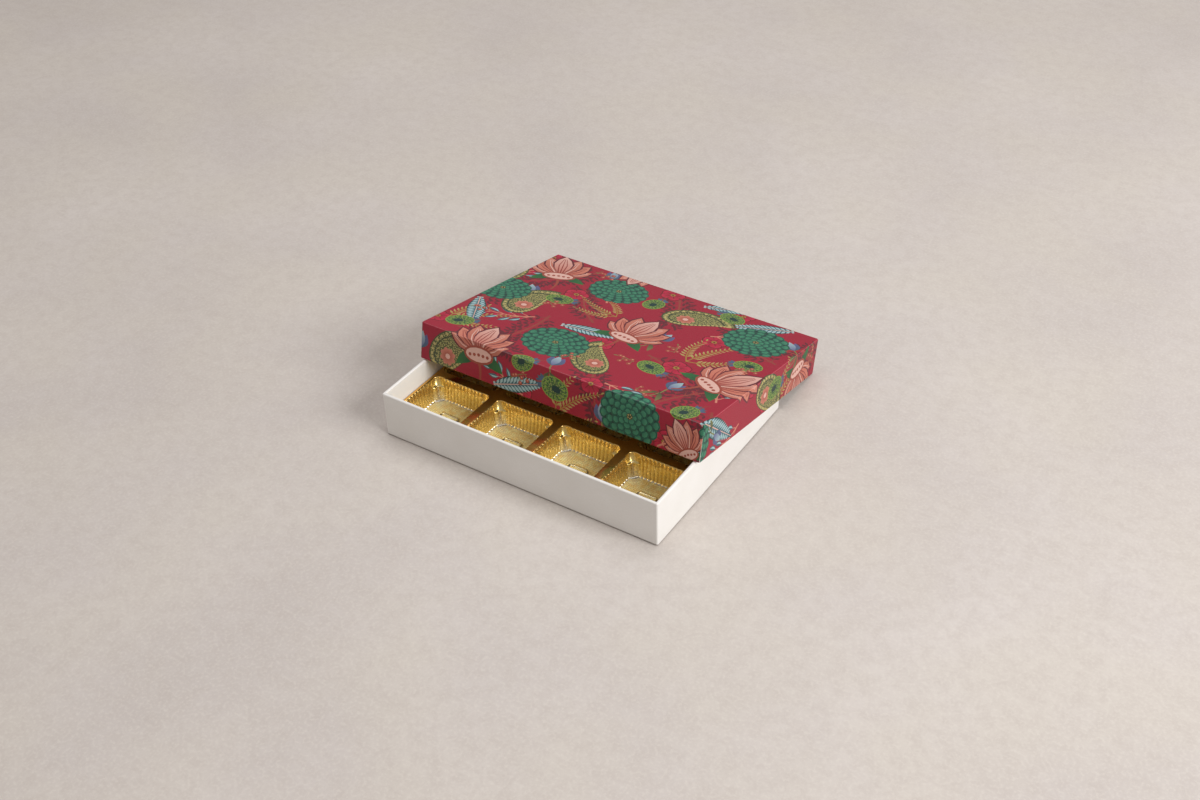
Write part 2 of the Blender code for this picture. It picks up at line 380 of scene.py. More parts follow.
# Where the motifs lie on the lid's flat sheet, lowest first: X, Y, heading in degrees if any, size if not 1
layout = (
    (vine, ((-98, -30, 62, 1.1), (-60, 72, -120, 1.2), (-2, 74, -68, 1.1), (-20, -4, 128, 1.1),
        (30, -20, -30, 1.2), (96, 22, 150, 1.1), (-46, -14, -96, 1.1), (10, -52, -66, 1.1),
        (64, -76, 60, 1.1), (96, -60, -80), (118, 78, -130), (-120, 30, -70), (-80, -66, -10),
        (50, 98, 170))),
    (bloom, ((-52, 26, 0, 1.1), (0, -26, 30, 1.1), (52, 24, 0, 1.1), (-98, -62, 20), (98, -18, 0, 1.1),
        (-4, 70, 0, 1.1), (52, -24, 10, 1.2), (-50, -70, 0, 1.1), (24, -76), (-98, 68), (118, 6), (76, -96),
        (-22, -96, 20, 0.9), (48, 72))),
    (fern, ((52, -12, 66), (-92, -60, 44, 0.95), (-14, 14, 160, 0.8), (2, -104, 38, 0.85),
        (124, 22, 118, 0.85), (-124, 66, -40, 0.8), (96, 96, -160, 0.8), (-30, 98, -20, 0.8),
        (-118, -70, 110, 0.7))),
    (sprig, ((-30, 28, 100, 1.15), (46, 30, 20, 1.15), (92, -48, 100, 1.1), (-52, -22, 205, 1.1),
        (30, -70, -22, 1.1), (-76, -98, 60, 0.9), (-100, 22, 70, 1.1), (72, -100, 22), (118, -30, -75),
        (-22, -100, 150, 0.9), (0, 96, 10), (-118, 4, -110))),
    (plume, ((-34, -20, 12, 1.1), (84, 74, -150, 1.1), (-96, -20, -62, 1.1), (98, -78, 58, 1.2),
        (20, 68, 24), (-118, -30, 100, 0.9), (-44, -100, 18))),
    (tulip, ((-76, 8, 30, 1.1), (24, 2, -12, 1.1), (-6, -72, 10, 1.1), (62, -52, -14, 1.1),
        (-48, 64, 20, 1.1), (96, 48, 40), (-100, -94, -6), (34, -98, 8), (112, -62, -40, 0.9),
        (-110, 76, 20, 0.9))),
    (paisley, ((10, 32, -34, 1.15), (-66, -26, 24, 1.15), (22, -62, 62, 1.1), (106, -10, -10, 1.1),
        (-88, -104, -24, 1.1), (-112, 44, -150), (64, 92, 120))),
    (dahlia, ((-34, 50, 0, 0.95), (72, 42, 20), (-22, -44), (-94, 2, 0, 0.9), (52, -88, 0, 0.95),
        (114, -84, 0, 0.8), (8, 100, 0, 0.8))),
    (lotus, ((-78, 44, 24, 1.25), (6, -8, -8, 1.25), (78, -30, -34, 1.3), (-56, -84, 6, 1.2),
        (112, 48, -76, 1.1), (-116, -20, 70), (-36, 92, 180), (92, -98, 30, 0.8))),
    (pod, ((-56, 12, 20), (44, 64, 160), (-6, 48, 80, 0.95), (40, -34, -20, 1.05), (-84, -58, 40),
        (0, -88, 170, 1.05), (112, 16, 95), (-24, -78, 30, 0.9), (84, 8, 200), (84, -70, 60),
        (-112, 70, 60, 0.9), (92, 84, 0, 0.9), (-120, -50, 0, 0.9))),
    (berries, ((-60, -4, 50, 1.1), (14, -34, -10, 1.1), (36, 6, -80), (-62, 66, 0, 1.1), (80, -2, 30),
        (-32, -92, 20), (100, 66), (60, -66, 160), (-8, -60, 60, 0.9), (-92, -36, 20))),
)


def painted_lid():
    art = Print()
    for motif, spots in layout:
        for spot in spots:
            motif(art.at(*spot))
    return art


class Wrap:
    """The wrapping sheet of one half of the box.

    Flat, the panel is in the middle and each wall goes on outwards from its fold, then over the rim and
    in. Folded, the panel is on top at height zero and the walls hang down.
    """

    def __init__(self, width, depth, height, fold_radius, fold_wear_and_shade):
        self.width, self.depth, self.height = width, depth, height
        self.fold_radius, self.fold_wear_and_shade = fold_radius, fold_wear_and_shade
        self.reach = height + wall + turn_in

    def outline(self):
        """The cut of the flat sheet: a cross with mitred rims."""
        stations = ((0.0, seam_gap), (self.height, seam_gap), (self.height + wall, wall + seam_gap),
                    (self.reach, wall + seam_gap))
        halves = (self.width / 2, self.depth / 2)
        points = []
        for quarter in range(4):
            half_along, half_out = halves if quarter % 2 == 0 else reversed(halves)
            flap = [(-half_along + inset, -half_out - out) for out, inset in stations]
            flap += [(half_along - inset, -half_out - out) for out, inset in reversed(stations)]
            points += list(turned(flap, quarter * pi / 2))
        return np.array(points)

    def bends(self):
        """Distances beyond a fold where the sheet bends on, and where the fold's wear and painted shade end.
        """
        found = {-self.fold_wear_and_shade, self.fold_wear_and_shade}
        rim_step = self.height + wall
        for step, radius in ((0.0, self.fold_radius), (self.height, rim_radius), (rim_step, rim_radius)):
            reaches = [radius * (1 - share) for share in bend_shares]
            found |= {step} | {round(step + side * reach, 6) for reach in reaches for side in (-1, 1)}
        return sorted(found)

    def profile(self, over):
        """How far down the wall, and how far in from its outer face, a point beyond a fold lies."""
        turned_in = over >= self.height + wall
        down = np.where(turned_in, 2 * self.height + wall - over, np.minimum(over, self.height))
        inward = np.clip(over - self.height, 0, wall)
        core_down = np.minimum(down, self.height - rim_radius)
        core_inward = np.clip(inward, rim_radius, wall - rim_radius)
        reach = np.hypot(down - core_down, inward - core_inward)
        scale = np.where(down > core_down, rim_radius / np.maximum(reach, 1e-9), 1.0)
        return core_down + (down - core_down) * scale, core_inward + (inward - core_inward) * scale

    def folded(self, u, v):
        """Places of points of the flat sheet on the folded one."""
        half_x, half_y, radius = self.width / 2, self.depth / 2, self.fold_radius
        over_u, over_v = np.abs(u) - half_x, np.abs(v) - half_y
        on_y_wall = over_v > np.maximum(over_u, 0)
        on_x_wall = ~on_y_wall & (over_u > 0)
        over = np.where(on_y_wall, over_v, np.where(on_x_wall, over_u, 0.0))
        down, inward = self.profile(over)
        x = np.where(on_x_wall, np.sign(u) * (half_x - inward), u)
        y = np.where(on_y_wall, np.sign(v) * (half_y - inward), v)
        core = [np.clip(x, radius - half_x, half_x - radius), np.clip(y, radius - half_y, half_y - radius),
                np.maximum(down, radius)]
        gap = [x - core[0], y - core[1], down - core[2]]
        reach = np.sqrt(sum(g * g for g in gap))
        scale = np.where((reach > 1e-9) & (inward < radius), (radius - inward) / np.maximum(reach, 1e-9), 1.0)
        x, y, down = (c + g * scale for c, g in zip(core, gap))

        along = np.where(on_y_wall, x / half_x, y / half_y)
        bow = skirt_bow * (1 - inward / wall) * np.clip(1 - along ** 2, 0, 1) * (down / self.height) ** 2
        x = x + np.sign(u) * bow * on_x_wall
        y = y + np.sign(v) * bow * on_y_wall
        swell = np.sin(x / dent_pitch[0] + dent_start[0]) * np.sin(y / dent_pitch[1] + dent_start[1])
        dent = dent_depth * (0.5 - 0.5 * swell) * np.clip(1 - down / radius, 0, 1)
        return np.stack([x, y, -down - dent], 1)

    def normals(self, u, v, step=0.01):
        across = self.folded(u + step, v) - self.folded(u - step, v)
        up = self.folded(u, v + step) - self.folded(u, v - step)
        normal = np.cross(across, up)
        return normal / np.maximum(np.linalg.norm(normal, axis=1), 1e-12)[:, None]

    def wear_and_shade(self, flat):
        """How worn the print is: red along the upright corners, green along the folds. On the white base the
        green is painted shade along its bottom folds.
        """
        side = np.abs(flat) - (self.width / 2, self.depth / 2)
        on_wall = side.max(axis=1) > 0
        seam = np.clip(1 + side.min(axis=1) / seam_wear_reach, 0, 1) * on_wall
        knocked = (flat[:, 0] > 0) & (flat[:, 1] < 0)
        lower = np.clip(side.max(axis=1) / self.height, 0, 1)
        seam *= seam_wear + (1 - seam_wear) * lower * knocked
        fold = np.clip(1 - np.abs(side.max(axis=1)) / self.fold_wear_and_shade, 0, 1)
        return np.column_stack([seam, fold, np.zeros(len(flat)), np.ones(len(flat))])


def inside(points, outline):
    """Which points lie in a closed outline."""
    x, y = points[:, 0], points[:, 1]
    result = np.zeros(len(points), bool)
    for (x0, y0), (x1, y1) in zip(outline, np.roll(outline, -1, axis=0)):
        if y0 != y1:
            crosses = (y0 > y) != (y1 > y)
            result ^= crosses & (x < (x1 - x0) * (y - y0) / (y1 - y0) + x0)
    return result


def clipped(lines, tile):
    """The stretches of the lines that lie in a tile: x low, y low, x high, y high."""
    start, step = lines[:, 0], lines[:, 1] - lines[:, 0]
    enter, leave = np.zeros(len(lines)), np.ones(len(lines))
    for axis in (0, 1):
        with np.errstate(divide="ignore", invalid="ignore"):
            near = (tile[axis] - start[:, axis]) / step[:, axis]
            far = (tile[axis + 2] - start[:, axis]) / step[:, axis]
        flat = step[:, axis] == 0
        missed = flat & ((start[:, axis] < tile[axis]) | (start[:, axis] > tile[axis + 2]))
        enter = np.where(flat, enter, np.maximum(enter, np.minimum(near, far)))
        leave = np.where(flat, leave, np.minimum(leave, np.maximum(near, far)))
        leave = np.where(missed, -1.0, leave)
    keep = enter < leave
    start, step = start[keep], step[keep]
    return np.stack([start + step * enter[keep, None], start + step * leave[keep, None]], 1)


def triangulated(wrap, outlines, border=None):
    """The flat sheet cut into triangles along its outline, its bends and every painted outline.

    Works tile by tile, and gives the points, the triangles and the topmost shape of each, or -1.
    A border, as short lines, stands in for the outline where the other side has more points on it.
    """
    cut = wrap.outline()
    edges = [np.stack([outline, np.roll(outline, -1, axis=0)], 1) for outline in [cut, *outlines]]
    if border is not None:
        edges = [border]
    far_x, far_y = wrap.width / 2 + wrap.reach + 1, wrap.depth / 2 + wrap.reach + 1
    for bend in wrap.bends():
        for side in (-1, 1):
            x, y = side * (wrap.width / 2 + bend), side * (wrap.depth / 2 + bend)
            edges.append(np.array([[(x, -far_y), (x, far_y)], [(-far_x, y), (far_x, y)]]))
    lines = np.concatenate(edges)
    columns = [-far_x, *np.linspace(-wrap.width / 2, wrap.width / 2, 5), far_x]
    rows = [-far_y, *np.linspace(-wrap.depth / 2, wrap.depth / 2, 4), far_y]
    corners, tops = [], []
    for x0, x1 in zip(columns, columns[1:]):
        for y0, y1 in zip(rows, rows[1:]):
            tile = (x0, y0, x1, y1)
            loop = [(x0, y0), (x1, y0), (x1, y1), (x0, y1), (x0, y0)]
            sides = np.array(list(zip(loop, loop[1:])))
            parts = np.concatenate([sides, clipped(lines, tile)]).round(5).reshape(-1, 2)
            points, index = np.unique(parts, axis=0, return_inverse=True)
            pairs = {tuple(sorted(pair)) for pair in index.reshape(-1, 2).tolist() if pair[0] != pair[1]}
            found = delaunay_2d_cdt([Vector(point) for point in points], sorted(pairs), [], 0, 1e-5, False)
            places = np.array([tuple(point) for point in found[0]])
            triangles = places[np.array([face for face in found[2] if len(face) == 3])]
            middle = triangles.mean(axis=1)
            kept = inside(middle, cut)
            triangles, middle = triangles[kept], middle[kept]
            top = np.full(len(middle), -1)
            for number, outline in enumerate(outlines):
                lowest, highest = outline.min(axis=0), outline.max(axis=0)
                if lowest[0] < x1 and highest[0] > x0 and lowest[1] < y1 and highest[1] > y0:
                    near = np.flatnonzero(np.all((middle > lowest) & (middle < highest), axis=1))
                    top[near[inside(middle[near], outline)]] = number
            corners.append(triangles)
            tops.append(top)
    corners, tops = np.concatenate(corners), np.concatenate(tops)
    points, index = np.unique((corners.reshape(-1, 2) / weld).round(), axis=0, return_inverse=True)
    points, faces = points * weld, index.reshape(-1, 3)
    whole = np.all(faces != np.roll(faces, 1, axis=1), axis=1)
    return points, faces[whole], tops[whole]


def new_object(name, data):
    item = bpy.data.objects.new(name, data)
    bpy.context.scene.collection.objects.link(item)
    return item


def new_mesh_object(name, points, faces, normals=None):
    mesh = bpy.data.meshes.new(name)
    mesh.from_pydata([tuple(p) for p in points], [], [tuple(f) for f in faces])
    mesh.shade_smooth()
    if normals is not None:
        mesh.normals_split_custom_set_from_vertices([tuple(n) for n in normals])
    return new_object(name, mesh)


def paint(mesh, name, domain, values):
    layer = mesh.color_attributes.new(name, "FLOAT_COLOR", domain)
    layer.data.foreach_set("color", values.astype(np.float32).ravel())


def border_lines(points, faces, cut):
    """The directed edges along the cut, which only one triangle has."""
    directed = faces[:, [0, 1, 1, 2, 2, 0]].reshape(-1, 2)
    _, first, uses = np.unique(np.sort(directed, axis=1), axis=0, return_index=True, return_counts=True)
    lone = directed[first[uses == 1]]
    middle = points[lone].mean(axis=1)
    nearest = np.full(len(lone), np.inf)
    for start, end in zip(cut, np.roll(cut, -1, axis=0)):
        step = end - start
        share = np.clip((middle - start) @ step / (step @ step), 0, 1)
        nearest = np.minimum(nearest, np.linalg.norm(start + share[:, None] * step - middle, axis=1))
    return lone[nearest < 10 * weld]


def paper_object(name, wrap, art, place):
    """The folded sheet as a thin solid, with its print in colour attributes and its flat layout as a map."""
    outlines = art.outlines if art else []
    points, faces, tops = triangulated(wrap, outlines)
    rim = border_lines(points, faces, wrap.outline())
    back_points, back_faces, _ = triangulated(wrap, [], points[rim])
    count = len(points)
    tree = KDTree(len(back_points))
    for number, point in enumerate(back_points):
        tree.insert((*point, 0), number)
    tree.balance()
    across = {k: tree.find((*points[k], 0))[1] + count for k in np.unique(rim).tolist()}
    sides = [(b, a, across[a], across[b]) for a, b in rim.tolist()]
    outer, normals = wrap.folded(*points.T), wrap.normals(*points.T)
    back_normals = wrap.normals(*back_points.T)
    inner = wrap.folded(*back_points.T) - back_normals * paper
    turn = np.array(place.to_3x3())
    shell = np.concatenate([outer, inner]) * mm @ turn.T + np.array(place.translation)
    shell_normals = np.concatenate([normals, -back_normals]) @ turn.T
    back = back_faces[:, ::-1] + count
    item = new_mesh_object(name, shell, [*faces.tolist(), *back.tolist(), *sides], shell_normals)
    mesh = item.data

    loops = np.zeros(len(mesh.loops), int)
    mesh.loops.foreach_get("vertex_index", loops)
    flat = np.concatenate([points, back_points])[loops]
    face_of_loop = np.repeat(np.arange(len(mesh.polygons)), [3] * (len(faces) + len(back)) + [4] * len(sides))
    span = max(wrap.width, wrap.depth) + 2 * wrap.reach + map_margin
    on_back = (face_of_loop >= len(faces))[:, None]
    baked = np.where(on_back, flat * back_size + (0, back_rise * span), flat)
    for map_name, places in (("OFBake", baked / span * front_share + front_middle), ("sheet", flat * 0.01)):
        mesh.uv_layers.new(name=map_name).data.foreach_set("uv", places.ravel())

    if art:
        top = np.full(len(mesh.polygons), -1)
        top[:len(faces)] = tops
        top = top[face_of_loop]
        bare = (top < 0)[:, None]
        ink, tip, foot, reach, grain = np.split(np.array(art.shades)[top], (3, 6, 8, 10), axis=1)
        share = np.sum((flat - foot) * reach, axis=1) / np.maximum(np.sum(reach ** 2, axis=1), 1e-9)
        share = np.clip(share, 0, 1)[:, None]
        color = np.where(bare, linear(crimson), ink * (1 - share) + tip * share)
        paint(mesh, "print", "CORNER", np.column_stack([color, np.where(bare, 0.0, grain)]))
    paint(mesh, "wear_and_shade", "CORNER", wrap.wear_and_shade(flat))
    return item


# Tray, in millimetres, from the part's own tray
tray_low, tray_high = (np.array(corner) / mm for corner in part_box("cavity_tray"))
tray_sheet = 0.4
cup_band = 6.0
cup_margin = 1.7
cup_columns, cup_rows = 4, 3
cup_width = (tray_high[0] - tray_low[0] - 2 * cup_margin - (cup_columns - 1) * cup_band) / cup_columns
cup_length = (tray_high[1] - tray_low[1] - 2 * cup_margin - (cup_rows - 1) * cup_band) / cup_rows
cup_depth = tray_high[2] - tray_low[2] - tray_sheet
cup_draft = 2.4
cup_rim_radius = 0.7
cup_foot_radius = 1.1
upper_corner, ledge_corner, foot_corner = 3.5, 1.5, 4.8
ledge_drop, ledge_reach, ledge_step = 6.0, 5.2, 1.3
flutes = 15
flute_steps = 6
flute_depth = 0.42
corner_blend = 0.8
foot_shelf, foot_plain = 0.45, foot_corner + 0.6
bend_steps = 4
under_steps = 10
under_grow = 0.75
pad_side = 14.6
tray_corner = 3.0
edge_angle = radians(50)
quarters = [np.linalg.matrix_power(np.array([[0.0, 1.0], [-1.0, 0.0]]), turn) for turn in range(4)]

# The ledge in the cup's corners, row by row: how far below the ledge, the corner's radius, how flat the
# corner is, the shares of the ledge's reach and step, and how much the forming has thinned the gold
ledge_rows = ((-0.45, upper_corner, 0.0, 1.00, 0.00, 0.0), (-0.28, upper_corner, 0.1, 1.00, 0.10, 0.2),
              (-0.05, 2.8, 0.3, 0.98, 0.40, 0.3), (0.22, 2.0, 0.6, 0.94, 0.82, 0.5),
              (0.50, ledge_corner, 0.9, 0.88, 0.97, 0.9), (0.95, ledge_corner, 1.0, 0.80, 1.00, 1.0))

# The bend at the foot of the walls, row by row: the flutes' share, and how much the gold is thinned
foot_rows = ((1.2, 0.8), (1.6, 1.0), (1.6, 1.0), (0.0, 0.15))

# The bead round the raised square, loop by loop: how far outside the square's side, how high, and its corner
bead_rows = ((0.50, 0.0, 2.6), (0.25, 0.20, 2.4), (0.0, 0.70, 2.1), (-0.35, 0.95, 1.8),
             (-0.80, 1.0, 1.5), (-1.25, 0.95, 1.2), (-1.60, 0.65, 1.0), (-1.90, 0.45, 0.8))
bead_stretch = 0.35

# One level of a cup. Chamfer makes its round corners flat, plain is how far from the corner the flutes
# start, shelf how far the wall steps in before them, and the stretches how far the gold is thinned.
Level = namedtuple("Level", "drop inset corner chamfer plain shelf flute side_stretch corner_stretch")


def cup_profile():
    """The levels of a cup from its rim to its floor."""
    lean = cup_draft / cup_depth
    levels = []
    for k in range(bend_steps + 1):
        angle = (pi / 2 - atan(lean)) * k / bend_steps
        inset = cup_rim_radius * (sin(angle) - 1)
        drop = cup_rim_radius * (1 - cos(angle))
        stretch = (k / bend_steps) ** 1.5
        levels.append(Level(drop, inset, upper_corner, 0.0, ledge_reach, 0.0, stretch, 0.0, 0.0))
    for below, corner, chamfer, reach, step, thinned in ledge_rows:
        drop = ledge_drop + below
        plain, shelf = ledge_reach * reach, ledge_step * step
        levels.append(Level(drop, lean * drop, corner, chamfer, plain, shelf, 1.0, 0.05, thinned))
    start = cup_depth - cup_foot_radius
    foot = Level(start, lean * start, foot_corner, 1.0, foot_plain, foot_shelf, 1.0, 0.15, 1.0)
    levels.append(foot)
    for k, (flute, thinned) in enumerate(foot_rows, 1):
        angle = pi / 2 * k / bend_steps
        drop = start + cup_foot_radius * sin(angle)
        inset = lean * start + cup_foot_radius * (1 - cos(angle))
        levels.append(foot._replace(drop=drop, inset=inset, flute=flute, side_stretch=thinned,
                                    corner_stretch=max(thinned, 0.5)))
    return levels


def ring(level, grow, steps):
    """The outline of a cup at one level round the origin, with each point's shares of corner and of groove,
    the groove share carrying painted shade.
    """
    half = np.array([cup_width, cup_length]) / 2 - level.inset + grow
    t = np.linspace(-1, 1, steps, endpoint=False)
    lower = np.stack([t, -np.ones(steps)], axis=1)
    square = np.concatenate([lower @ quarter for quarter in quarters])
    sharp = square * half
    core = np.clip(sharp, level.corner - half, half - level.corner)
    gap = sharp - core
    outward = gap / np.linalg.norm(gap, axis=1)[:, None]
    flat_reach = 1 / np.abs(outward).sum(axis=1)[:, None]
    points = core + outward * level.corner * (1 - level.chamfer + level.chamfer * flat_reach)
    along = np.where(np.repeat([True, False, True, False], steps), square[:, 0], square[:, 1])
    half_along = np.repeat([half[0], half[1], half[0], half[1]], steps)
    from_corner = half_along * (1 - np.abs(along))
    plain = 1 - np.clip((from_corner - level.plain) / corner_blend + 0.5, 0, 1)
    wave = np.abs(np.cos(pi * flutes * along / 2))
    push = flute_depth * level.flute * (1 - plain) * wave + level.shelf * plain
    facet = 1 - np.clip((from_corner - level.corner) / corner_blend + 0.5, 0, 1)
    # Share of each flute's groove, which the material darkens as painted shade
    groove_shade = min(level.flute, 1.0) * (1 - plain) * (1 - wave)
    return points - outward * push[:, None], facet, groove_shade


def annulus_triangles(outer_loop, inner_loops):
    """Flat triangles between an outer loop and the loops inside it."""
    loops = [outer_loop, *inner_loops]
    points = np.concatenate(loops)
    edges, start = [], 0
    for loop in loops:
        edges += [(start + k, start + (k + 1) % len(loop)) for k in range(len(loop))]
        start += len(loop)
    found = delaunay_2d_cdt([Vector(point[:2]) for point in points], edges, [], 0, 1e-7, True)
    origin = [where[0] if where else None for where in found[3]]
    faces = [[origin[k] for k in face] for face in found[2]]
    faces = np.array([face for face in faces if None not in face])
    middle = points[faces][:, :, :2].mean(axis=1)
    kept = inside(middle, outer_loop[:, :2])
    for loop in inner_loops:
        kept &= ~inside(middle, loop[:, :2])
    return faces[kept]


def rounded_loop(half_x, half_y, corner, z, steps=5):
    """A level loop round a rectangle with round corners."""
    points = []
    for quarter, (sx, sy) in enumerate(((1, -1), (1, 1), (-1, 1), (-1, -1))):
        for k in range(steps + 1):
            angle = pi / 2 * (quarter - 1 + k / steps)
            points.append((sx * (half_x - corner) + corner * cos(angle),
                           sy * (half_y - corner) + corner * sin(angle), z))
    return np.array(points)


def loop_faces(start, size, count):
    """Quads between level loops of one size, each inside the one before it."""
    k = np.arange(size)
    n = (k + 1) % size
    faces = []
    for a in range(start, start + (count - 1) * size, size):
        faces += np.stack([a + k, a + n, a + size + n, a + size + k], 1).tolist()
    return faces


def cup_surface(steps, fluted, sink):
    """One side of a cup about the origin, from its rim to the square on its floor: points, faces and looks.

    The four values of a look are how stretched the gold is, and the shares of floor, flange and groove, the
    last darkening the flutes' grooves as painted shade.
    """
    levels = cup_profile()
    floor_shares = [0.0] * (len(levels) - 1) + [1.0]
    flange_shares = [max(0.0, 1 - k / (bend_steps + 1)) for k in range(len(levels))]
    walls, looks = [], []
    for level, *shares in zip(levels, floor_shares, flange_shares):
        outline, facet, groove_shade = ring(level._replace(flute=level.flute * fluted), under_grow * sink, steps)
        count = len(outline)
        walls.append(np.column_stack([outline, np.full(count, tray_high[2] - level.drop - sink)]))
        stretch = level.side_stretch + (level.corner_stretch - level.side_stretch) * facet
        looks.append(np.column_stack([stretch, np.tile(shares, (count, 1)), groove_shade]))
    floor_z = walls[-1][0, 2]
    beads = [rounded_loop(pad_side / 2 + grow, pad_side / 2 + grow, corner, floor_z + rise, 3)
             for grow, rise, corner in bead_rows]
    size = len(beads[0])
    for bead in [0] + [1] * (len(beads) - 2) + [0]:
        looks.append(np.tile((bead_stretch * bead, 1.0 - bead, 0.0, 0.0), (size, 1)))
    foot, square = (len(walls) - 1) * count, len(walls) * count
    last = square + (len(beads) - 1) * size
    faces = loop_faces(0, count, len(walls)) + loop_faces(square, size, len(beads))
    faces += (annulus_triangles(walls[-1], [beads[0]]) + foot).tolist()
    faces.append(list(range(last, last + size)))
    return np.concatenate(walls + beads), faces, np.concatenate(looks)


def tray_surface(steps, fluted, sink):
    """One side of the tray's sheet, as points, faces, looks and the size of its outer loop."""
    half = (tray_high - tray_low) / 2
    outer = rounded_loop(half[0], half[1], tray_corner, tray_high[2] - sink)
    cup, cup_faces, cup_looks = cup_surface(steps, fluted, sink)
    points, faces, rims = [outer], [], []
    looks = [np.tile((0.0, 0.0, 1.0, 0.0), (len(outer), 1))]
    for row in range(cup_rows):
        for column in range(cup_columns):
            start = len(outer) + len(rims) * len(cup)
            points.append(cup + ((column - (cup_columns - 1) / 2) * (cup_width + cup_band),
                                 (row - (cup_rows - 1) / 2) * (cup_length + cup_band), 0.0))
            faces += [[start + k for k in face] for face in cup_faces]
            looks.append(cup_looks)
            rims.append(np.arange(start, start + 4 * steps))
    points = np.concatenate(points)
    lookup = np.concatenate([np.arange(len(outer)), *rims])
    faces += lookup[annulus_triangles(outer, [points[rim] for rim in rims])].tolist()
    return points, faces, np.concatenate(looks), len(outer)


def tray_object():
    top_points, top_faces, top_looks, size = tray_surface(flutes * flute_steps, True, 0.0)
    under_points, under_faces, under_looks, size = tray_surface(under_steps, False, tray_sheet)
    count = len(top_points)
    faces = top_faces + [[count + k for k in reversed(face)] for face in under_faces]
    faces += [[(k + 1) % size, k, count + k, count + (k + 1) % size] for k in range(size)]
    points = np.concatenate([top_points, under_points]) * mm
    item = new_mesh_object("gold_cup_tray", points, faces)
    item.data.set_sharp_from_angle(angle=edge_angle)
    paint(item.data, "stretch", "POINT", np.concatenate([top_looks, under_looks]))
    return item


# Materials. Noise scales are per metre, or per decimetre on the flat sheet, and bump heights are in metres

waffle_pitch = 0.0015


class Shader:
    """A material with one Principled shader and short calls for its nodes."""

    def __init__(self, name, **values):
        self.material = bpy.data.materials.new(name)
        self.material.use_nodes = True
        self.tree = self.material.node_tree
        self.surface = self.tree.nodes["Principled BSDF"]
        for socket, value in values.items():
            self.surface.inputs[socket.replace("_", " ")].default_value = value

    def node(self, kind, values=(), **settings):
        node = self.tree.nodes.new(kind)
        for key, value in settings.items():
            setattr(node, key, value)
        for socket, value in dict(values).items():
            if isinstance(value, bpy.types.NodeSocket):
                self.tree.links.new(value, node.inputs[socket])
            else:
                node.inputs[socket].default_value = value
        return node

    def math(self, operation, a, b=0.0):
        return self.node("ShaderNodeMath", {0: a, 1: b}, operation=operation).outputs[0]

    def noise(self, where, scale, detail=3.0, roughness=0.5):
        return self.node("ShaderNodeTexNoise", {"Vector": where, "Scale": scale, "Detail": detail,
                                                "Roughness": roughness}).outputs["Fac"]

    def ramp(self, value, low, high, bottom=0.0, top=1.0):
        return self.node("ShaderNodeMapRange", {"Value": value, "From Min": low, "From Max": high,
                                                "To Min": bottom, "To Max": top}).outputs["Result"]

    def mix(self, share, a, b, blend="MIX"):
        a, b = (rgba(color) if isinstance(color, tuple) else color for color in (a, b))
        node = self.node("ShaderNodeMix", {0: share, 6: a, 7: b}, data_type="RGBA", blend_type=blend)
        return node.outputs[2]

    def attribute(self, name):
        """The red, green, blue and alpha values of a colour attribute."""
        found = self.node("ShaderNodeVertexColor", layer_name=name).outputs
        parts = self.node("ShaderNodeSeparateColor", {"Color": found["Color"]}).outputs
        return (*parts, found["Alpha"])

    def link(self, output, socket):
        self.tree.links.new(output, self.surface.inputs[socket])

    def bump(self, height, strength, distance):
        node = self.node("ShaderNodeBump", {"Height": height, "Strength": strength, "Distance": distance})
        self.link(node.outputs["Normal"], "Normal")

    def position(self):
        return self.node("ShaderNodeTexCoord").outputs["Object"]

    def stretched(self, where, scale):
        return self.node("ShaderNodeMapping", {"Vector": where, "Scale": scale}).outputs["Vector"]


def white_paper():
    """Uncoated white wrapping paper: faint clouds and fibres, darkened along its bottom folds with painted
    shade.
    """
    s = Shader("white_paper", Specular_IOR_Level=0.4)
    where = s.position()
    clouds = s.noise(where, 40.0, 4.0)
    fibres = s.noise(s.stretched(where, (1.0, 3.0, 2.0)), 900.0, 2.0, 0.6)
    color = s.mix(s.ramp(clouds, 0.3, 0.7), (0.900, 0.889, 0.872), (0.922, 0.914, 0.902))
    color = s.mix(s.ramp(fibres, 0.35, 0.75, 0.0, 0.35), color, (0.88, 0.865, 0.84))
    # Painted shade: a patchy dark brown band along the bottom folds, for the contact shadow under the box
    _, fold, _, _ = s.attribute("wear_and_shade")
    painted_shade = s.math("MULTIPLY", fold, s.ramp(clouds, 0.2, 0.8, 0.7, 1.3))
    s.link(s.mix(s.ramp(painted_shade, 0.15, 0.75, 0.0, 0.85), color, (0.42, 0.34, 0.27)), "Base Color")
    s.link(s.ramp(fibres, 0.2, 0.8, 0.5, 0.62), "Roughness")
    s.bump(fibres, 0.25, 0.00006)
    return s.material


